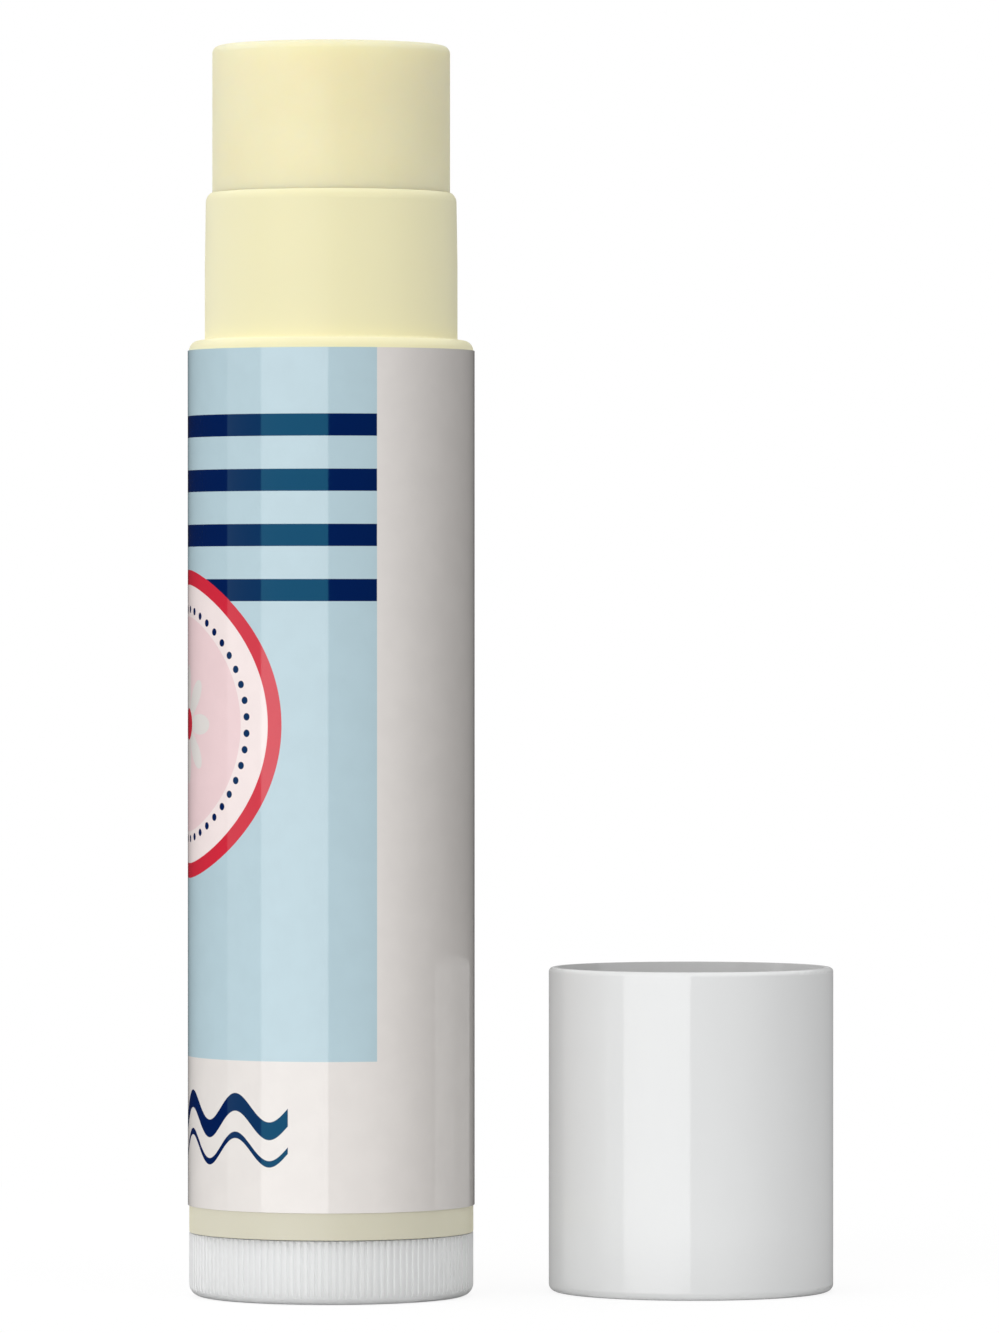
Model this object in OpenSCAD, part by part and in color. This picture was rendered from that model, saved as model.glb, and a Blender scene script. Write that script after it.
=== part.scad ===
// Twist-up lip balm stick: a barrel with a wrap label, the balm on a screw-driven carrier,
// a knurled base wheel with the drive screw, and a push-on cap that stands open end up beside it.
// Millimetres, +Z up. The stick's axis is the Z axis and the wheel stands on z = 0.
// Turning the wheel anticlockwise, seen from above, winds the balm out: the thread is left-handed.

/* [Barrel] */
// Outer diameter of the bare barrel and of the wheel
barrel_d = 15.26; // [12.6:0.02:19]
// Wall between the barrel's outside and its bore
barrel_wall = 1.2; // [0.9:0.05:1.5]
// Height of the shoulder above the surface
shoulder_h = 51.25; // [42:0.05:65]
// Radius of the rounded shoulder edge
shoulder_round = 0.55; // [0.2:0.05:0.6]
// Wall of the neck
neck_wall = 0.35; // [0.3:0.05:0.6]
// Height of the neck above the shoulder
neck_h = 7.9; // [6:0.1:10]
// Height of the neck's straight seat for the cap, above which it has a slight draft
neck_seat_h = 4.1; // [3:0.1:5]
// Draft of the neck above its seat, at the lip
neck_draft = 0.05; // [0.02:0.01:0.1]
// Radius of the neck's rounded lip, which may be more than the lip is wide
lip_round = 0.6; // [0.4:0.05:1]
// Number of guide ribs in the bore
guide_count = 4; // [2:1:6]
// Width of a guide rib
guide_w = 0.6; // [0.4:0.05:1]
// Height of a guide rib above the bore's wall
guide_h = 0.35; // [0.25:0.05:0.5]

/* [Label] */
// Thickness of the label film
label_t = 0.07; // [0.05:0.01:0.2]
// Bare band between the barrel's lower end and the label
label_band = 1.45; // [0.8:0.05:3]
// Bare strip between the label and the top of the shoulder
label_drop = 0.55; // [0.4:0.05:1.5]
// Width of the gap where the label's ends meet, at the back
label_seam = 0.2; // [0.1:0.05:0.5]

/* [Base wheel] */
// Height of the knurled wheel
wheel_h = 3.4; // [3:0.1:4.3]
// Number of knurl ribs round the wheel
knurl_count = 126; // [80:2:140]
// Depth of the knurl
knurl_depth = 0.08; // [0.04:0.01:0.12]
// Radius of the wheel's rounded lower edge
wheel_round = 0.65; // [0.3:0.05:0.8]
// Gap between the wheel and the barrel's lower end
wheel_gap = 0.04; // [0.02:0.02:0.2]
// Thickness of the wheel's floor
wheel_floor = 1.1; // [0.9:0.1:1.5]
// Height of the snap hub above the wheel
hub_h = 3.1; // [2.8:0.1:4]
// Wall of the snap hub
hub_wall = 0.95; // [0.8:0.05:1.2]
// Radial clearance where the hub turns in the barrel
hub_clear = 0.06; // [0.04:0.01:0.1]

/* [Drive screw] */
// Diameter at the root of the screw's thread
screw_root_d = 3.2; // [2.6:0.1:4]
// Height of the screw's thread above its root
thread_h = 0.6; // [0.4:0.05:0.7]
// Travel of the carrier for one turn of the wheel
screw_pitch = 3; // [2.4:0.1:3.6]
// Distance from the shoulder down to the screw's tip
screw_short = 2.2; // [1.5:0.1:4]
// Clearance between the screw's thread and the carrier's
thread_clear = 0.1; // [0.08:0.01:0.15]

/* [Carrier] */
// Radial clearance between the carrier and the bore
carrier_clear = 0.1; // [0.06:0.01:0.15]
// Clearance round a guide rib in the carrier's notch
notch_clear = 0.12; // [0.08:0.01:0.2]
// Wall of the carrier's cup and skirt
carrier_wall = 0.75; // [0.6:0.05:1]
// Thickness of the carrier's floor
carrier_floor = 1; // [0.8:0.1:1.5]
// Height of the cup that holds the foot of the balm
cup_h = 2.5; // [2:0.1:3.5]
// Length of the skirt below the carrier's floor
skirt_h = 8; // [6:0.1:10]
// Wall of the threaded nut at the crest of its thread
nut_wall = 0.85; // [0.7:0.05:1]
// Length of the nut below the carrier's floor
nut_h = 11.3; // [9:0.1:13]
// Height of the nut above the carrier's floor
nut_rise = 1.5; // [1:0.1:2]
// Height of the fins that hold the balm
fin_h = 4.5; // [3:0.1:6]
// Gap between the hub and the carrier when the balm is wound right in
carrier_gap = 0.2; // [0.1:0.05:0.4]

/* [Balm] */
// Height of the balm above the neck, as it stands
balm_out = 7.9; // [0:0.05:26]
// Radial clearance between the balm and the bore
balm_clear = 0.05; // [0.03:0.01:0.1]
// Radius of the balm's rounded top edge
balm_round = 0.4; // [0.2:0.05:0.8]

/* [Cap] */
// Height of the cap
cap_h = 17.5; // [15.5:0.1:21]
// Wall of the cap at the neck's seat
cap_wall = 0.86; // [0.7:0.02:1]
// Thickness of the cap's closed end
cap_top = 1; // [0.8:0.1:1.3]
// Radial clearance between the cap and the neck's seat
cap_clear = 0.05; // [0.03:0.01:0.1]
// Radius of the cap's outer edge at its closed end
cap_round = 0.4; // [0.2:0.05:0.6]
// Radius of the cap's outer edge at its mouth
cap_rim_round = 0.25; // [0.15:0.05:0.25]
// Width of the lead-in at the cap's mouth
lead_in_w = 0.36; // [0.2:0.02:0.4]
// Depth of the lead-in at the cap's mouth
lead_in_h = 0.9; // [0.5:0.1:1.5]
// Gap from the label across to the cap, which stands to the right
cap_gap = 4; // [2:0.1:40]
// Distance by which the cap stands further back than the stick
cap_back = 3.2; // [0:0.1:10]

/* [Hidden] */
$fn = 96;

// Overrun of a cut, and of a rib into the wall that carries it
over = 0.3;

// Barrel and neck
barrel_r = barrel_d / 2;
bore_r = barrel_r - barrel_wall;
neck_r = bore_r + neck_wall;
lip_r = neck_r - neck_draft;
neck_top = shoulder_h + neck_h;
barrel_low = wheel_h + wheel_gap;
neck_fillet = 0.12;
lip_land = 0.04;
lip_reach = lip_round - (lip_r - bore_r) + lip_land;
lip_low = neck_top - sqrt(lip_round * lip_round - lip_reach * lip_reach);
barrel_edge = 0.05;
bore_edge = 0.15;
guide_start = 1.2;
guide_short = 0.8;
guide_low = wheel_h + hub_h + guide_start;
guide_top = shoulder_h - guide_short;

// Label
label_low = barrel_low + label_band;
label_top = shoulder_h - label_drop;

// Snap bead in the barrel and its groove in the hub
bead_round = 0.45;
bead_h = 0.25;
bead_up = 1.25;
bead_clear = 0.08;
bead_z = barrel_low + bead_up;
bead_mid_r = bore_r - bead_h + bead_round;

// Base wheel and hub
hub_r = bore_r - hub_clear;
hub_top = wheel_h + hub_h;
hub_hollow_r = hub_r - hub_wall;
hub_edge = 0.25;
wheel_edge = 0.05;
foot_ring_in = 0.6;
foot_ring_w = 0.7;
foot_ring_h = 0.25;
foot_ring_r = hub_hollow_r - foot_ring_in - foot_ring_w;
crest_share = 0.45;
valley_share = 0.3;

// Drive screw
boss_wall = 0.9;
boss_h = 2.6;
thread_start = 0.4;
thread_foot_share = 0.5;
thread_crest_share = 0.2;
thread_steps = 20;
fade_steps = 8;
screw_tip = 0.45;
screw_land = 0.6;
screw_root_r = screw_root_d / 2;
screw_crest_r = screw_root_r + thread_h;
screw_top = shoulder_h - screw_short;
thread_low = hub_top - thread_start;
thread_foot = screw_pitch * thread_foot_share;
thread_crest = screw_pitch * thread_crest_share;
boss_r = screw_root_r + boss_wall;
boss_top = wheel_floor + boss_h;

// Carrier, with the balm as it stands
fin_w = 0.6;
fin_count = 4;
fin_gap = 0.9;
web_w = 0.8;
carrier_r = bore_r - carrier_clear;
cup_r = carrier_r - carrier_wall;
nut_r = screw_crest_r + thread_clear + nut_wall;
nut_low = hub_top + carrier_gap + balm_out;
floor_low = nut_low + nut_h;
floor_top = floor_low + carrier_floor;
nut_top = floor_top + nut_rise;
cup_top = floor_top + cup_h;
skirt_low = floor_low - skirt_h;
web_low = floor_low - skirt_h / 2;
fin_r = cup_r - fin_gap;
fin_top = floor_top + fin_h;
notch_r = bore_r - guide_h - notch_clear;
notch_w = guide_w + 2 * notch_clear;

// Balm
screw_clear = 0.15;
screw_spare = 0.4;
balm_r = bore_r - balm_clear;
balm_top = neck_top + balm_out;
balm_bore_r = screw_crest_r + screw_clear;
balm_bore_top = screw_top + balm_out + screw_spare;
groove_top = guide_top + balm_out + notch_clear;

// Cap
cap_spare = 0.3;
cap_stop = 0.3;
cap_inner_round = 0.5;
gate_r = 1.1;
gate_h = 0.2;
cap_bore_r = neck_r + cap_clear;
cap_r = cap_bore_r + cap_wall;
cap_seat_h = neck_h + cap_spare;
cap_inner_r = cap_bore_r - cap_stop;
cap_mouth_r = cap_bore_r + lead_in_w;
cap_x = barrel_r + label_t + cap_gap + cap_r;

// The bit between a square corner at (x, y) and the quarter circle of radius r inside it, where
// sx and sy point from the corner to the circle's middle. Cut off an edge or added to a corner.
module corner(x, y, sx, sy, r) {
    difference() {
        translate([min(x - sx * over, x + sx * r), min(y - sy * over, y + sy * r)])
            square([r + over, r + over]);
        translate([x + sx * r, y + sy * r]) circle(r);
    }
}

// A radial plate from r0 to r1 and z0 to z1, repeated evenly round the axis from start
module plates(count, start, r0, r1, w, z0, z1) {
    for (i = [0 : count - 1])
        rotate([0, 0, start + i * 360 / count])
            translate([r0, -w / 2, z0])
                cube([r1 - r0, w, z1 - z0]);
}

// Point i of the thread's section at step k. Its height fades in and out at the thread's ends.
function thread_point(k, i, root_r, crest_r, foot, crest, z0, last) =
    let (
        fade = min(1, k / fade_steps, (last - k) / fade_steps),
        r = (i == 1 || i == 2) ? root_r + (crest_r - root_r) * fade : root_r,
        across = [-foot / 2, -crest / 2, crest / 2, foot / 2][i],
        angle = -360 * k / thread_steps
    )
    [r * cos(angle), r * sin(angle), z0 + across + screw_pitch * k / thread_steps];

// A ring of a threaded rod's plain ends
function rod_ring(r, z) =
    [for (k = [0 : thread_steps - 1])
        let (angle = -360 * k / thread_steps) [r * cos(angle), r * sin(angle), z]];

// A rod with a left-handed thread whose ends run out, as one closed surface.
// z0 is the middle of the thread's section where it starts, on the +X side.
module threaded_rod(root_r, crest_r, foot, crest, low, z0, top, tip) {
    m = thread_steps;
    last = floor((top - tip - screw_land - foot / 2 - z0) / screw_pitch * m);
    function side(k, i) = 4 * k + i;
    function low_ring(k) = 4 * (last + 1) + k % m;
    function top_ring(k) = low_ring(k) + m;
    function tip_ring(k) = low_ring(k) + 2 * m;
    polyhedron(
        points = concat(
            [for (k = [0 : last], i = [0 : 3])
                thread_point(k, i, root_r, crest_r, foot, crest, z0, last)],
            rod_ring(root_r, low),
            rod_ring(root_r, top - tip),
            rod_ring(root_r - tip, top)
        ),
        faces = concat(
            // The thread's flanks and crest
            [for (k = [0 : last - 1], i = [0 : 2])
                [side(k, i), side(k + 1, i), side(k + 1, i + 1), side(k, i + 1)]],
            // The root between one turn and the next
            [for (k = [0 : last - m - 1])
                [side(k, 3), side(k + 1, 3), side(k + m + 1, 0), side(k + m, 0)]],
            // The plain rod below the first turn
            [for (k = [0 : m - 2])
                [low_ring(k), low_ring(k + 1), side(k + 1, 0), side(k, 0)]],
            [[low_ring(m - 1), low_ring(0), side(0, 0), side(0, 1),
                side(0, 2), side(0, 3), side(m, 0), side(m - 1, 0)]],
            // The plain rod above the last turn
            [for (k = [last - m + 1 : last - 1])
                [side(k, 3), side(k + 1, 3), top_ring(k + 1), top_ring(k)]],
            [[side(last - m + 1, 3), top_ring(last - m + 1), top_ring(last), side(last, 3),
                side(last, 2), side(last, 1), side(last, 0), side(last - m, 3)]],
            // The chamfered tip and the two ends
            [for (k = [0 : m - 1])
                [top_ring(k), top_ring(k + 1), tip_ring(k + 1), tip_ring(k)]],
            [[for (k = [m - 1 : -1 : 0]) low_ring(k)]],
            [[for (k = [0 : m - 1]) tip_ring(k)]]
        )
    );
}

// The thread of the drive screw
module screw() {
    threaded_rod(
        screw_root_r, screw_crest_r, thread_foot, thread_crest,
        boss_top - over, thread_low, screw_top, screw_tip
    );
}

// What the screw's thread needs to run free in the carrier, in step with the screw
module screw_space() {
    turns = ceil((nut_low - thread_low) / screw_pitch) - 2;
    low = thread_low + turns * screw_pitch;
    threaded_rod(
        screw_root_r + thread_clear, screw_crest_r + thread_clear,
        thread_foot + 2 * thread_clear, thread_crest + 2 * thread_clear,
        low - 2 * screw_pitch, low, nut_top + 3 * screw_pitch, screw_tip
    );
}

module barrel_section() {
    difference() {
        union() {
            polygon([
                [bore_r, barrel_low], [barrel_r, barrel_low], [barrel_r, shoulder_h],
                [neck_r, shoulder_h], [neck_r, shoulder_h + neck_seat_h],
                [lip_r, lip_low], [lip_r, neck_top], [bore_r, neck_top]
            ]);
            corner(neck_r, shoulder_h, 1, 1, neck_fillet);
            translate([bead_mid_r, bead_z]) circle(bead_round);
        }
        corner(barrel_r, shoulder_h, -1, -1, shoulder_round);
        corner(lip_r, lip_low + lip_round, -1, -1, lip_round);
        corner(barrel_r, barrel_low, -1, 1, barrel_edge);
        corner(bore_r, barrel_low, 1, 1, bore_edge);
    }
}

module barrel() color([0.87, 0.85, 0.72]) {
    rotate_extrude() barrel_section();
    plates(guide_count, 0, bore_r - guide_h, bore_r + over, guide_w, guide_low, guide_top);
}

module label() color([0.76, 0.86, 0.89])
    difference() {
        rotate_extrude()
            translate([barrel_r, label_low])
                square([label_t, label_top - label_low]);
        plates(1, 90, barrel_r - over, barrel_r + label_t + over, label_seam,
            label_low - over, label_top + over);
    }

// The wheel's outside before it is knurled
module wheel_section() {
    difference() {
        square([barrel_r, wheel_h]);
        corner(barrel_r, 0, -1, 1, wheel_round);
        corner(barrel_r, wheel_h, -1, -1, wheel_edge);
    }
}

// The knurl's outline: flanks rise from the valleys past the wheel's outside, which cuts the crests
module knurl_outline() {
    step = 360 / knurl_count;
    flank_share = (1 - crest_share - valley_share) / 2;
    ends = [flank_share, crest_share - flank_share, crest_share + flank_share, 1 - flank_share];
    polygon([
        for (i = [0 : knurl_count - 1], j = [0 : 3])
            let (
                r = j < 2 ? barrel_r + knurl_depth : barrel_r - knurl_depth,
                a = (i + ends[j]) * step
            )
            [r * cos(a), r * sin(a)]
    ]);
}

// The snap hub and the boss that the screw grows from
module hub_section() {
    difference() {
        translate([hub_hollow_r, wheel_floor - over])
            square([hub_wall, hub_top - wheel_floor + over]);
        translate([bead_mid_r, bead_z]) circle(bead_round + bead_clear);
        corner(hub_r, hub_top, -1, -1, hub_edge);
        corner(hub_hollow_r, hub_top, 1, -1, hub_edge);
    }
    polygon([
        [0, wheel_floor - over], [boss_r, wheel_floor - over],
        [boss_r, boss_top - hub_edge], [boss_r - hub_edge, boss_top], [0, boss_top]
    ]);
}

module base_wheel() color([0.9, 0.9, 0.9]) {
    difference() {
        intersection() {
            linear_extrude(wheel_h) knurl_outline();
            rotate_extrude() wheel_section();
        }
        translate([0, 0, wheel_floor]) cylinder(r = hub_hollow_r, h = wheel_h);
        rotate_extrude()
            translate([foot_ring_r, -over]) square([foot_ring_w, foot_ring_h + over]);
    }
    rotate_extrude() hub_section();
    screw();
}

// The fins that stand in the foot of the balm
module fins()
    plates(fin_count, 180 / fin_count, nut_r - over, fin_r, fin_w, floor_top - over, fin_top);

module carrier() color([0.94, 0.94, 0.92])
    difference() {
        union() {
            rotate_extrude() {
                translate([0, floor_low]) square([carrier_r, carrier_floor]);
                translate([cup_r, skirt_low]) square([carrier_wall, cup_top - skirt_low]);
                translate([0, nut_low]) square([nut_r, nut_top - nut_low]);
            }
            plates(fin_count, 180 / fin_count, nut_r - over, cup_r + over, web_w,
                web_low, floor_low + over);
            fins();
        }
        plates(guide_count, 0, notch_r, bore_r, notch_w, skirt_low - over, cup_top + over);
        screw_space();
    }

module balm() color([0.91, 0.89, 0.74])
    difference() {
        rotate_extrude()
            difference() {
                union() {
                    translate([balm_bore_r, floor_top]) square([cup_r - balm_bore_r, cup_h + over]);
                    translate([balm_bore_r, cup_top]) square([balm_r - balm_bore_r, balm_top - cup_top]);
                    translate([0, balm_bore_top]) square([balm_r, balm_top - balm_bore_top]);
                }
                corner(balm_r, balm_top, -1, -1, balm_round);
            }
        translate([0, 0, floor_top - over]) cylinder(r = nut_r, h = nut_rise + over);
        fins();
        plates(guide_count, 0, notch_r, bore_r, notch_w, cup_top - over, groove_top);
    }

// The cap's wall and closed end, standing on its closed end, which has the gate's small recess
module cap_section() {
    difference() {
        square([cap_r, cap_h]);
        translate([0, cap_top]) square([cap_inner_r, cap_h]);
        translate([0, -over]) square([gate_r, gate_h + over]);
        translate([0, cap_h - cap_seat_h]) square([cap_bore_r, cap_seat_h + over]);
        polygon([
            [cap_inner_r, cap_h - lead_in_h], [cap_bore_r, cap_h - lead_in_h],
            [cap_mouth_r, cap_h], [cap_mouth_r, cap_h + over], [cap_inner_r, cap_h + over]
        ]);
        corner(cap_r, 0, -1, 1, cap_round);
        corner(cap_r, cap_h, -1, -1, cap_rim_round);
    }
    corner(cap_inner_r, cap_top, -1, 1, cap_inner_round);
}

module cap() color([0.92, 0.92, 0.92])
    translate([cap_x, cap_back, 0])
        rotate_extrude() cap_section();

barrel();
label();
base_wheel();
carrier();
balm();
cap();
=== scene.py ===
"""The looks of the lip balm stick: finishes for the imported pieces, a small floor, lamps and the camera."""

import math

import bpy
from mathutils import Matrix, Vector


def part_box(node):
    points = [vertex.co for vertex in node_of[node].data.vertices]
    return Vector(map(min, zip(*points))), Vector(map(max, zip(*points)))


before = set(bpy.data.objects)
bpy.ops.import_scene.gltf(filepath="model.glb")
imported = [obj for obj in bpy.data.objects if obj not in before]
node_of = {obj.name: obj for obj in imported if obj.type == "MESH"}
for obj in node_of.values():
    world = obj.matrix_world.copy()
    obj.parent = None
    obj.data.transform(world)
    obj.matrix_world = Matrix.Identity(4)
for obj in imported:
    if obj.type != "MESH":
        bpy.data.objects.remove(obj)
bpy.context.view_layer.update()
scene = bpy.context.scene
MM = 0.001


def paint(red, green, blue):
    """A colour as it is read off a screen, 0 to 255, in the linear values that a shader takes."""
    shares = [c / 255 for c in (red, green, blue)]
    linear = [c / 12.92 if c <= 0.04045 else ((c + 0.055) / 1.055) ** 2.4 for c in shares]
    return (*linear, 1)


# Camera, as the photograph was taken: far off, a little above the stick's middle
PHOTO_H = 1333
FOCAL_PX = 9000
SENSOR_MM = 36
CAMERA_AT = Vector((9.035, -483.3, 36.8)) * MM
CAMERA_TILT = math.radians(0.36)
CLIP_NEAR = 0.05
CLIP_FAR = 20

# Print on the label: lengths and heights in millimetres, the blue panel's sides in degrees from the front,
# to the right, and the stripes' slack in pitches
PANEL_FROM = -180
PANEL_TO = 19.4
PANEL_LOW = 12.9
STRIPES = 4
STRIPE_LOW = 37.26
STRIPE_W = 1.18
STRIPE_PITCH = 2.917
STRIPE_SLACK = 0.05
ROUNDEL_Z = 30.7
ROUNDEL_R = 8.25
RING_W = 0.8
BEAD_RING_R = 6.15
BEAD_R = 0.2
BEADS = 44
FIELD_R = 5.75
ROSETTE_R = 3.2
ROSETTE_HEART_R = 0.85
PETALS = 8
PETAL_FULLNESS = 0.6
WAVE_Z = 9.2
WAVE_HALF_W = 8.6
WAVE_LENGTH = 4.3
WAVE_HEIGHT = 0.75
WAVE_LINES = ((0.75, 0.95), (-1.0, 0.35))
INK_EDGE = 0.02

# Inks: between two angles from the blue panel's middle the print is darkened. This is painted shade, darkest
# in the white panel's middle, standing in for the light falling off round the stick.
# Ink darker than DARK_INK has a blue gloss
INK_WHITE = paint(234, 229, 225)
INK_BLUE = paint(187, 211, 220)
INK_NAVY = paint(4, 30, 84)
INK_RED = paint(214, 44, 64)
INK_PINK = paint(244, 216, 218)
INK_BLUSH = paint(250, 236, 234)
PAINTED_SHADE = 0.75
PAINTED_SHADE_FROM = math.radians(90)
PAINTED_SHADE_TO = math.radians(150)
DARK_INK = 0.08
NAVY_GLOSS = (0.08, 0.7, 0.85, 1)
FILM_ROUGHNESS = (0.05, 0.08)
FILM_WAVINESS = 1.5e-6
MOTTLE = 0.975

# Plastics and wax: pairs of tones, roughness, and how far light spreads in them
WHITE = (1, 1, 1, 1)
# The neck's paler cream is painted light
NECK_PAINTED_LIGHT_CREAM = paint(245, 240, 203)
BAND_TONES = (paint(216, 212, 195), paint(211, 207, 187))
WHITE_TONES = (paint(238, 239, 239), paint(234, 235, 235))
CAP_TONES = (paint(234, 235, 235), paint(230, 231, 231))
WAX_TONES = (paint(246, 238, 200), paint(243, 234, 193))
SHEEN_CREAM = paint(250, 246, 215)
# The grey inside the cap is painted shade
CAP_INSIDE_SHADE = paint(192, 192, 192)
CAP_WALL = 0.86 * MM
RIM_BLEND = 0.1 * CAP_WALL
NECK_BLEND = 1 * MM
SATIN = 0.34
POLISHED = 0.06
GLOSS_VARIES = 0.15
WAX_ROUGHNESS = (0.3, 0.42)
BAND_SPREAD = 0.2 * MM
WHITE_SPREAD = 0.3 * MM
WHEEL_SPREAD = 1.4 * MM
WAX_SPREAD = 1.5 * MM

# Noise: scales in cells to the metre, depths of relief in metres, and the parts of its range that are used
FLOW_SCALE = 90
FLOW_STRETCH = (1, 1, 0.35)
SMEAR_SCALE = 400
GRAIN_SCALE = 4500
GRAIN_DEPTH = 2e-6
MOTTLE_SCALE = 700
FILM_SMEAR_SCALE = 500
FILM_WAVE_SCALE = 260
CLOUD_SCALE = 160
SKIN_SCALE = 350
PORE_SCALE = 2600
PORE_SHARE = 0.15
SKIN_DEPTH = 1.2e-5
WAX_SMEAR_SCALE = 600
NOISE_CORE = (0.3, 0.7)
NOISE_MOST = (0.2, 0.8)

# Lamps: azimuths in degrees from the camera's side, negative to its left; radiance 1 is white
LAMP_DISTANCE = 2.0
FRONT_RISE = (-5, 32)
BACK_RISE = (-5, 20)
SOFTBOXES = {
    "key": {"azimuths": (-57, -1.3), "elevations": FRONT_RISE, "radiance": 2.45, "in_gloss": True},
    "side": {"azimuths": (-91, -57), "elevations": FRONT_RISE, "radiance": 0.7, "in_gloss": True},
    "left": {"azimuths": (-130, -91), "elevations": FRONT_RISE, "radiance": 0.9, "in_gloss": False},
    "fill": {"azimuths": (-1.3, 26), "elevations": FRONT_RISE, "radiance": 0.45, "in_gloss": False},
    "right": {"azimuths": (26, 60), "elevations": FRONT_RISE, "radiance": 1.3, "in_gloss": False},
    "back": {"azimuths": (120, 240), "elevations": BACK_RISE, "radiance": 1.6, "in_gloss": False},
}
OVERHEAD = {"side": 2.0, "radiance": 1.1}
AMBIENT = 0.37

# Dark wall past the lamps, in metres
WALL_RADIUS = 2.8
WALL_FROM = -2.5
WALL_TO = 1.5
WALL_SIDES = 64
WALL_DARK = paint(30, 30, 32)

# Floor: a disc just under the stick. FLOOR_SHADOW is the share of its real shading that is seen, and
# FLOOR_LIT how bright the lamps make it
FLOOR_CENTRE = Vector((9, 28, 0)) * MM
FLOOR_RADIUS = 72 * MM
FLOOR_FADE_FROM = 38 * MM
FLOOR_UNDER = 0.02 * MM
FLOOR_SIDES = 96
FLOOR_PALE = paint(203, 203, 203)
FLOOR_SHADOW = 0.3
FLOOR_LIT = 0.5

# The mix node's sockets for colours, which share their names with others
COLOUR_A = 6
COLOUR_B = 7
COLOUR_OUT = 2


class Finish:
    """A node material with short ways to add nodes to it."""

    def __init__(self, name):
        self.material = bpy.data.materials.new(name)
        self.material.use_nodes = True
        self.tree = self.material.node_tree
        self.shader = self.tree.nodes["Principled BSDF"]
        self.place = self.add("ShaderNodeTexCoord").outputs["Object"]

    def add(self, kind, **settings):
        node = self.tree.nodes.new(kind)
        for name, value in settings.items():
            setattr(node, name, value)
        return node

    def feed(self, socket, value):
        if isinstance(value, bpy.types.NodeSocket):
            self.tree.links.new(value, socket)
        else:
            socket.default_value = value

    def set(self, **values):
        for name, value in values.items():
            self.feed(self.shader.inputs[name.replace("_", " ")], value)

    def fed(self, name):
        """What feeds that socket of the shader so far."""
        return self.shader.inputs[name].links[0].from_socket

    def calc(self, operation, *values):
        node = self.add("ShaderNodeMath", operation=operation)
        for socket, value in zip(node.inputs, values):
            self.feed(socket, value)
        return node.outputs[0]

    def vector(self, operation, one, other, output="Value"):
        node = self.add("ShaderNodeVectorMath", operation=operation)
        self.feed(node.inputs[0], one)
        self.feed(node.inputs[1], other)
        return node.outputs[output]

    def length(self, one, other):
        """The long side of a right triangle with those two sides."""
        squares = [self.calc("POWER", side, 2) for side in (one, other)]
        return self.calc("SQRT", self.calc("ADD", *squares))

    def mix(self, share, low, high, blend_type="MIX"):
        """low where share is 0 and high where it is 1, for colours."""
        node = self.add("ShaderNodeMix", data_type="RGBA", blend_type=blend_type)
        self.feed(node.inputs["Factor"], share)
        self.feed(node.inputs[COLOUR_A], low)
        self.feed(node.inputs[COLOUR_B], high)
        return node.outputs[COLOUR_OUT]

    def ramp(self, value, start, end, low=0.0, high=1.0):
        """A smooth step: low where value is start or less, high where it is end or more."""
        node = self.add("ShaderNodeMapRange", interpolation_type="SMOOTHSTEP")
        for socket, number in zip(node.inputs, (value, start, end, low, high)):
            self.feed(socket, number)
        return node.outputs[0]

    def below(self, value, edge, soft=INK_EDGE):
        """1 where value is under the edge and 0 over it, with a soft step as ink has."""
        return self.ramp(value, edge - soft, edge + soft, 1, 0)

    def both(self, *masks):
        """1 only where every mask is 1."""
        product = masks[0]
        for mask in masks[1:]:
            product = self.calc("MULTIPLY", product, mask)
        return product

    def rest(self, share):
        """What a share leaves of 1."""
        return self.calc("SUBTRACT", 1, share)

    def noise(self, scale, detail=2, stretch=(1, 1, 1)):
        scaled = self.add("ShaderNodeMapping")
        scaled.inputs["Scale"].default_value = stretch
        self.feed(scaled.inputs["Vector"], self.place)
        node = self.add("ShaderNodeTexNoise")
        self.feed(node.inputs["Vector"], scaled.outputs["Vector"])
        node.inputs["Scale"].default_value = scale
        node.inputs["Detail"].default_value = detail
        return node.outputs["Fac"]

    def bump(self, height, depth):
        node = self.add("ShaderNodeBump")
        node.inputs["Distance"].default_value = depth
        self.feed(node.inputs["Height"], height)
        return node.outputs["Normal"]


def print_panel(film, across, height, half_width):
    """White film with a blue panel, and navy stripes near the panel's top."""
    sides = film.below(film.calc("ABSOLUTE", across), half_width)
    panel = film.both(sides, film.rest(film.below(height, PANEL_LOW)))
    step = film.calc("DIVIDE", film.calc("SUBTRACT", height, STRIPE_LOW), STRIPE_PITCH)
    in_step = film.calc("MULTIPLY", film.calc("FRACT", step), STRIPE_PITCH)
    from_stripe = film.calc("ABSOLUTE", film.calc("SUBTRACT", in_step, STRIPE_W / 2))
    stripes = film.both(
        film.below(from_stripe, STRIPE_W / 2),
        film.calc("GREATER_THAN", step, -STRIPE_SLACK),
        film.calc("LESS_THAN", step, STRIPES - STRIPE_SLACK),
        sides,
    )
    colour = film.mix(panel, INK_WHITE, INK_BLUE)
    return film.mix(stripes, colour, INK_NAVY)


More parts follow.
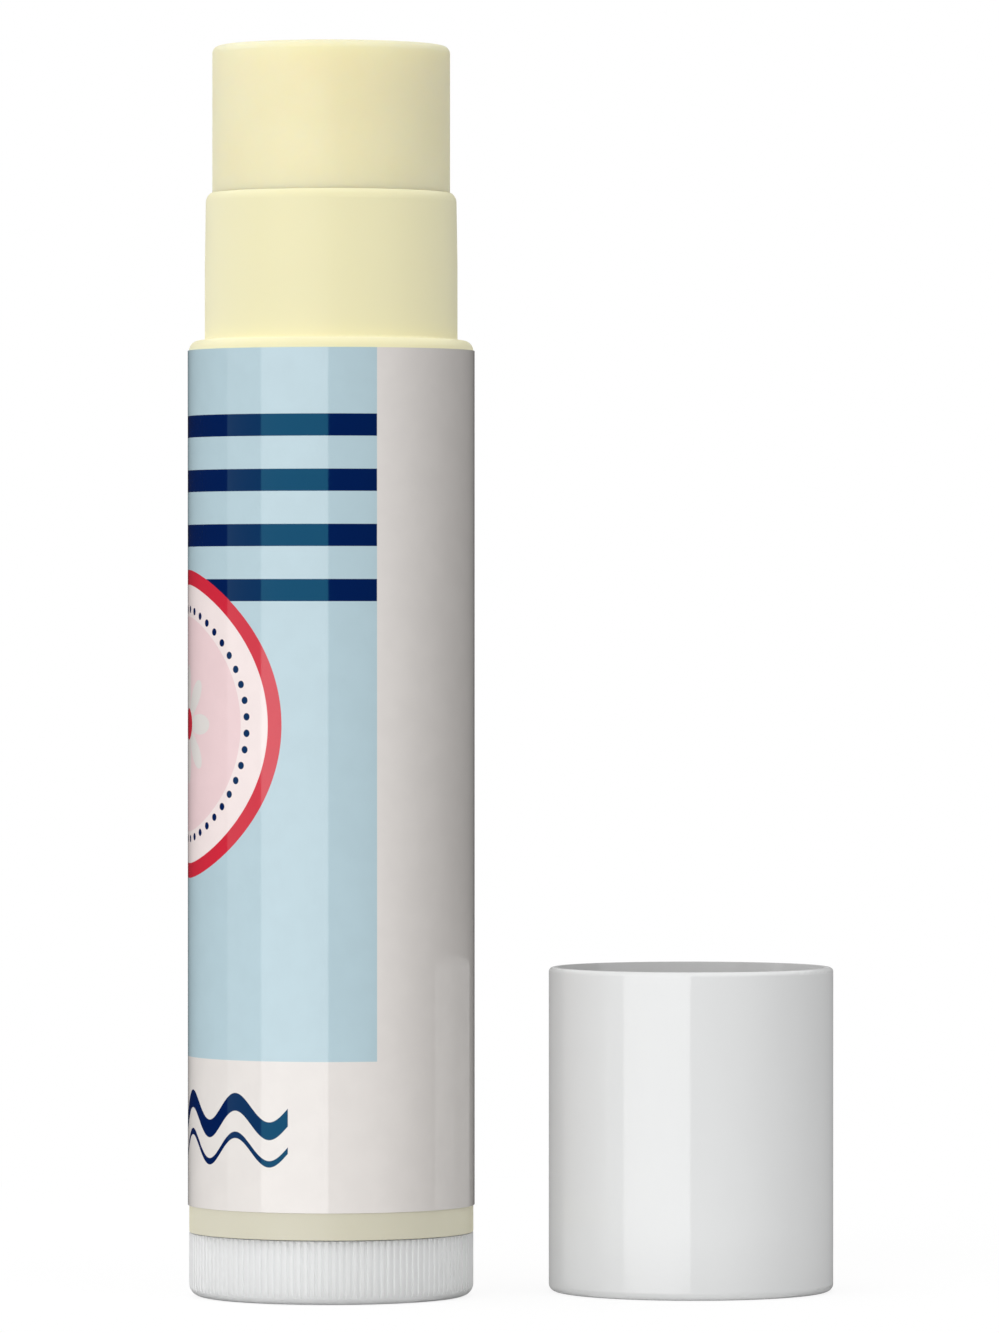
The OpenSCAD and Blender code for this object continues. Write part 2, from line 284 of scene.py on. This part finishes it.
def print_roundel(film, colour, across, height):
    """A round medallion with a ring of beads, and a rosette in its middle."""
    up = film.calc("SUBTRACT", height, ROUNDEL_Z)
    reach = film.length(across, up)
    angle = film.calc("ARCTAN2", up, across)
    for edge, ink in ((ROUNDEL_R, INK_RED), (ROUNDEL_R - RING_W, INK_BLUSH), (FIELD_R, INK_PINK)):
        colour = film.mix(film.below(reach, edge), colour, ink)

    bead_step = film.calc("FRACT", film.calc("MULTIPLY", angle, BEADS / math.tau))
    from_step = film.calc("SUBTRACT", bead_step, 0.5)
    along = film.calc("MULTIPLY", from_step, math.tau * BEAD_RING_R / BEADS)
    inward = film.calc("SUBTRACT", reach, BEAD_RING_R)
    colour = film.mix(film.below(film.length(along, inward), BEAD_R), colour, INK_NAVY)

    petal_wave = film.calc("ABSOLUTE", film.calc("COSINE", film.calc("MULTIPLY", angle, PETALS / 2)))
    petal_r = film.calc("MULTIPLY", film.calc("POWER", petal_wave, PETAL_FULLNESS), ROSETTE_R)
    colour = film.mix(film.below(film.calc("SUBTRACT", reach, petal_r), 0), colour, INK_WHITE)
    return film.mix(film.below(reach, ROSETTE_HEART_R), colour, INK_RED)


def print_wave(film, colour, across, height):
    """A double wave, one line thick and one thin."""
    phase = film.calc("MULTIPLY", across, math.tau / WAVE_LENGTH)
    swing = film.calc("MULTIPLY", film.calc("SINE", phase), WAVE_HEIGHT)
    span = film.below(film.calc("ABSOLUTE", across), WAVE_HALF_W)
    from_wave = film.calc("SUBTRACT", film.calc("SUBTRACT", height, WAVE_Z), swing)
    for rise, thick in WAVE_LINES:
        offset = film.calc("ABSOLUTE", film.calc("SUBTRACT", from_wave, rise))
        colour = film.mix(film.both(film.below(offset, thick / 2), span), colour, INK_NAVY)
    return colour


def label_film():
    """The printed film. A place on it is so many millimetres up, and across from the blue panel's middle."""
    film = Finish("label_film")
    radius_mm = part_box("label")[1].x / MM
    centre = math.radians((PANEL_FROM + PANEL_TO) / 2)
    half_width = math.radians((PANEL_TO - PANEL_FROM) / 2) * radius_mm
    facing = film.vector("DOT_PRODUCT", film.place, (math.sin(centre), -math.cos(centre), 0))
    sideways = film.vector("DOT_PRODUCT", film.place, (math.cos(centre), math.sin(centre), 0))
    turn = film.calc("ARCTAN2", sideways, facing)
    across = film.calc("MULTIPLY", turn, radius_mm)
    height = film.vector("DOT_PRODUCT", film.place, (0, 0, 1 / MM))

    colour = print_panel(film, across, height, half_width)
    colour = print_roundel(film, colour, across, height)
    colour = print_wave(film, colour, across, height)

    grey = film.add("ShaderNodeRGBToBW")
    film.feed(grey.inputs[0], colour)
    dark_ink = film.below(grey.outputs[0], DARK_INK, DARK_INK)
    mottle = film.ramp(film.noise(MOTTLE_SCALE, detail=3), *NOISE_CORE, MOTTLE, 1)
    # Painted shade: the print darkens away from the blue panel's middle
    painted_shade = film.ramp(film.calc("ABSOLUTE", turn), PAINTED_SHADE_FROM, PAINTED_SHADE_TO, 1, PAINTED_SHADE)
    film.set(
        Base_Color=film.mix(1, colour, film.both(mottle, painted_shade), "MULTIPLY"),
        Roughness=film.ramp(film.noise(FILM_SMEAR_SCALE), *NOISE_MOST, *FILM_ROUGHNESS),
        Normal=film.bump(film.noise(FILM_WAVE_SCALE), FILM_WAVINESS),
        IOR=1.5,
        Specular_Tint=film.mix(dark_ink, WHITE, NAVY_GLOSS),
    )
    return film


def moulded(name, tones, roughness, spread, weight):
    """Moulded plastic: a faint flow in its colour, a fine grain, uneven gloss, and light that sinks in."""
    finish = Finish(name)
    flow = finish.noise(FLOW_SCALE, detail=3, stretch=FLOW_STRETCH)
    smear = finish.noise(SMEAR_SCALE, detail=3)
    least, most = roughness * (1 - GLOSS_VARIES), roughness * (1 + GLOSS_VARIES)
    finish.set(
        Base_Color=finish.mix(finish.ramp(flow, *NOISE_CORE), *tones),
        Roughness=finish.ramp(smear, *NOISE_MOST, least, most),
        Normal=finish.bump(finish.noise(GRAIN_SCALE), GRAIN_DEPTH),
        Subsurface_Weight=weight,
        Subsurface_Scale=spread,
        Subsurface_Radius=(1.0, 0.85, 0.6),
    )
    return finish


def barrel_plastic():
    """Cream plastic. It is paler at the neck, where the balm stands close behind it: the paler tone is
    painted light, standing in for the light that comes through the thin wall there.
    """
    cream = moulded("barrel_plastic", BAND_TONES, SATIN, BAND_SPREAD, weight=0.1)
    height = cream.vector("DOT_PRODUCT", cream.place, (0, 0, 1))
    label_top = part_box("label")[1].z
    at_neck = cream.ramp(height, label_top - NECK_BLEND, label_top)
    # Painted light: the neck is paler than the band below it
    cream.set(
        Base_Color=cream.mix(at_neck, cream.fed("Base Color"), NECK_PAINTED_LIGHT_CREAM),
        Diffuse_Roughness=at_neck,
        Specular_IOR_Level=0.25,
        Sheen_Weight=0.7,
        Sheen_Roughness=0.6,
        Sheen_Tint=SHEEN_CREAM,
    )
    return cream


def white_plastic(name, roughness, spread=WHITE_SPREAD, weight=0.2, tones=WHITE_TONES):
    """Moulded white plastic, in which light of every colour spreads alike."""
    white = moulded(name, tones, roughness, spread, weight)
    white.set(Subsurface_Radius=(1, 1, 1))
    return white


def cap_plastic():
    """White plastic, painted greyer inside: painted shade for the inside of the cap."""
    white = white_plastic("cap_plastic", POLISHED, tones=CAP_TONES)
    lowest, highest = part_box("cap")
    middle = (lowest + highest) / 2
    flat = white.vector("MULTIPLY", white.place, (1, 1, 0), "Vector")
    from_axis = white.vector("DISTANCE", flat, (middle.x, middle.y, 0))
    mid_wall = (highest.x - lowest.x) / 2 - CAP_WALL / 2
    within = white.ramp(from_axis, mid_wall, mid_wall + RIM_BLEND, 1, 0)
    height = white.vector("DOT_PRODUCT", white.place, (0, 0, 1))
    above = white.ramp(height, lowest.z + CAP_WALL / 2, lowest.z + CAP_WALL)
    # Painted shade: the inner wall and floor of the cap are greyer
    white.set(
        Base_Color=white.mix(white.both(within, above), white.fed("Base Color"), CAP_INSIDE_SHADE),
        Sheen_Weight=0.6,
        Sheen_Roughness=0.6,
    )
    return white


def balm_wax():
    """Wax: light goes deep into it, its gloss is low, and its skin is faintly uneven."""
    wax = Finish("balm_wax")
    cloud = wax.noise(CLOUD_SCALE, detail=4)
    pores = wax.calc("MULTIPLY", wax.noise(PORE_SCALE), PORE_SHARE)
    skin = wax.calc("ADD", wax.noise(SKIN_SCALE, detail=3), pores)
    wax.set(
        Base_Color=wax.mix(wax.ramp(cloud, *NOISE_CORE), *WAX_TONES),
        Roughness=wax.ramp(wax.noise(WAX_SMEAR_SCALE, detail=3), *NOISE_MOST, *WAX_ROUGHNESS),
        Normal=wax.bump(skin, SKIN_DEPTH),
        IOR=1.44,
        Specular_IOR_Level=0.25,
        Diffuse_Roughness=1.0,
        Subsurface_Weight=1,
        Subsurface_Scale=WAX_SPREAD,
        Subsurface_Radius=(1.0, 0.9, 0.7),
        Sheen_Weight=0.8,
        Sheen_Roughness=0.6,
        Sheen_Tint=SHEEN_CREAM,
    )
    return wax


def flat_lamp(name, place, towards, width, height, radiance, in_gloss):
    """A rectangle of light that the camera doesn't see."""
    lamp = bpy.data.lights.new(name, "AREA")
    lamp.shape = "RECTANGLE"
    lamp.size = width
    lamp.size_y = height
    lamp.energy = radiance * math.pi * width * height
    placed = bpy.data.objects.new(name, lamp)
    placed.location = place
    placed.rotation_euler = towards.to_track_quat("-Z", "Y").to_euler()
    placed.visible_camera = False
    placed.visible_glossy = in_gloss
    scene.collection.objects.link(placed)


def softbox(name, azimuths, elevations, radiance, in_gloss):
    """An upright lamp that spans those angles as seen from the object and faces it."""
    middle = math.radians(sum(azimuths) / 2)
    half = math.radians((azimuths[1] - azimuths[0]) / 2)
    low, high = (LAMP_DISTANCE * math.tan(math.radians(e)) for e in elevations)
    outward = Vector((math.sin(middle), -math.cos(middle), 0))
    place = outward * LAMP_DISTANCE + Vector((0, 0, (low + high) / 2))
    width = 2 * LAMP_DISTANCE * math.tan(half)
    flat_lamp(name, place, -outward, width, high - low, radiance, in_gloss)


def overhead(side, radiance):
    """A square lamp over the object, for what faces up. Gloss doesn't see it."""
    place = Vector((0, 0, LAMP_DISTANCE))
    flat_lamp("overhead", place, Vector((0, 0, -1)), side, side, radiance, in_gloss=False)


def seen_directly(tree):
    """1 for what the camera, gloss or clear material sees, and 0 for the light that falls on things."""
    path = tree.nodes.new("ShaderNodeLightPath")
    total = path.outputs["Is Camera Ray"]
    for kind in ("Is Glossy Ray", "Is Transmission Ray"):
        either = tree.nodes.new("ShaderNodeMath")
        either.operation = "MAXIMUM"
        tree.links.new(total, either.inputs[0])
        tree.links.new(path.outputs[kind], either.inputs[1])
        total = either.outputs[0]
    return total


def white_world():
    """A white surround to look at, that lights the object only as strongly as AMBIENT says."""
    world = bpy.data.worlds.new("studio")
    world.use_nodes = True
    tree = world.node_tree
    level = tree.nodes.new("ShaderNodeMapRange")
    level.inputs["To Min"].default_value = AMBIENT
    level.inputs["To Max"].default_value = 1
    tree.links.new(seen_directly(tree), level.inputs["Value"])
    background = tree.nodes["Background"]
    background.inputs["Color"].default_value = WHITE
    tree.links.new(level.outputs["Result"], background.inputs["Strength"])
    scene.world = world


def floor_finish():
    """Pale and matt. Seen directly it is white, with part of its real shading left in for the shadow."""
    finish = Finish("floor_white")
    matt = finish.add("ShaderNodeBsdfDiffuse")
    matt.inputs["Color"].default_value = FLOOR_PALE
    glow = finish.add("ShaderNodeEmission")
    from_centre = finish.vector("DISTANCE", finish.place, FLOOR_CENTRE)
    kept = finish.ramp(from_centre, FLOOR_FADE_FROM, FLOOR_RADIUS, FLOOR_SHADOW, 0)
    not_kept = finish.rest(kept)
    to_white = finish.rest(finish.calc("MULTIPLY", kept, FLOOR_LIT))
    finish.feed(glow.inputs["Strength"], finish.calc("DIVIDE", to_white, not_kept))
    surface = finish.add("ShaderNodeMixShader")
    finish.feed(surface.inputs[0], finish.both(seen_directly(finish.tree), not_kept))
    finish.feed(surface.inputs[1], matt.outputs[0])
    finish.feed(surface.inputs[2], glow.outputs[0])
    finish.feed(finish.tree.nodes["Material Output"].inputs["Surface"], surface.outputs[0])
    finish.tree.nodes.remove(finish.shader)
    return finish


def wall_finish():
    dark = Finish("dark_wall")
    dark.set(Base_Color=WALL_DARK, Roughness=1.0)
    return dark


def circle(sides):
    """Points on a circle of radius 1, at height 0."""
    turns = [math.tau * i / sides for i in range(sides)]
    return [Vector((math.cos(t), math.sin(t), 0)) for t in turns]


def mesh_object(name, verts, faces, finish):
    mesh = bpy.data.meshes.new(name)
    mesh.from_pydata(verts, [], faces)
    mesh.update()
    mesh.materials.append(finish.material)
    made = bpy.data.objects.new(name, mesh)
    scene.collection.objects.link(made)
    return made


def make_floor():
    """A small round floor: everything past its rim is white too, so the rim doesn't show."""
    centre = FLOOR_CENTRE - Vector((0, 0, FLOOR_UNDER))
    rim = [centre + FLOOR_RADIUS * point for point in circle(FLOOR_SIDES)]
    floor = mesh_object("floor", rim, [tuple(range(FLOOR_SIDES))], floor_finish())
    floor.visible_glossy = False


def make_dark_wall():
    """A dark wall right round, past the lamps. Only gloss sees it, so the label's edges stay deep."""
    rim = [WALL_RADIUS * point for point in circle(WALL_SIDES)]
    verts = [point + Vector((0, 0, z)) for z in (WALL_FROM, WALL_TO) for point in rim]
    pairs = [(i, (i + 1) % WALL_SIDES) for i in range(WALL_SIDES)]
    faces = [(i, j, j + WALL_SIDES, i + WALL_SIDES) for i, j in pairs]
    wall = mesh_object("dark_wall", verts, faces, wall_finish())
    wall.visible_camera = False
    wall.visible_diffuse = False
    wall.visible_shadow = False


def make_camera():
    data = bpy.data.cameras.new("camera")
    data.sensor_width = SENSOR_MM
    data.lens = SENSOR_MM * FOCAL_PX / PHOTO_H
    data.clip_start = CLIP_NEAR
    data.clip_end = CLIP_FAR
    camera = bpy.data.objects.new("camera", data)
    camera.location = CAMERA_AT
    camera.rotation_euler = (math.pi / 2 - CAMERA_TILT, 0, 0)
    scene.collection.objects.link(camera)
    scene.camera = camera


make_camera()
white_world()
for name, lamp in SOFTBOXES.items():
    softbox(name, **lamp)
overhead(**OVERHEAD)
make_floor()
make_dark_wall()

FINISHES = {
    "barrel": barrel_plastic(),
    "label": label_film(),
    "base_wheel": white_plastic("wheel_plastic", SATIN, WHEEL_SPREAD, weight=1),
    "carrier": white_plastic("carrier_plastic", SATIN),
    "balm": balm_wax(),
    "cap": cap_plastic(),
}
for name, finish in FINISHES.items():
    node_of[name].data.materials.clear()
    node_of[name].data.materials.append(finish.material)

scene.view_settings.view_transform = "Standard"
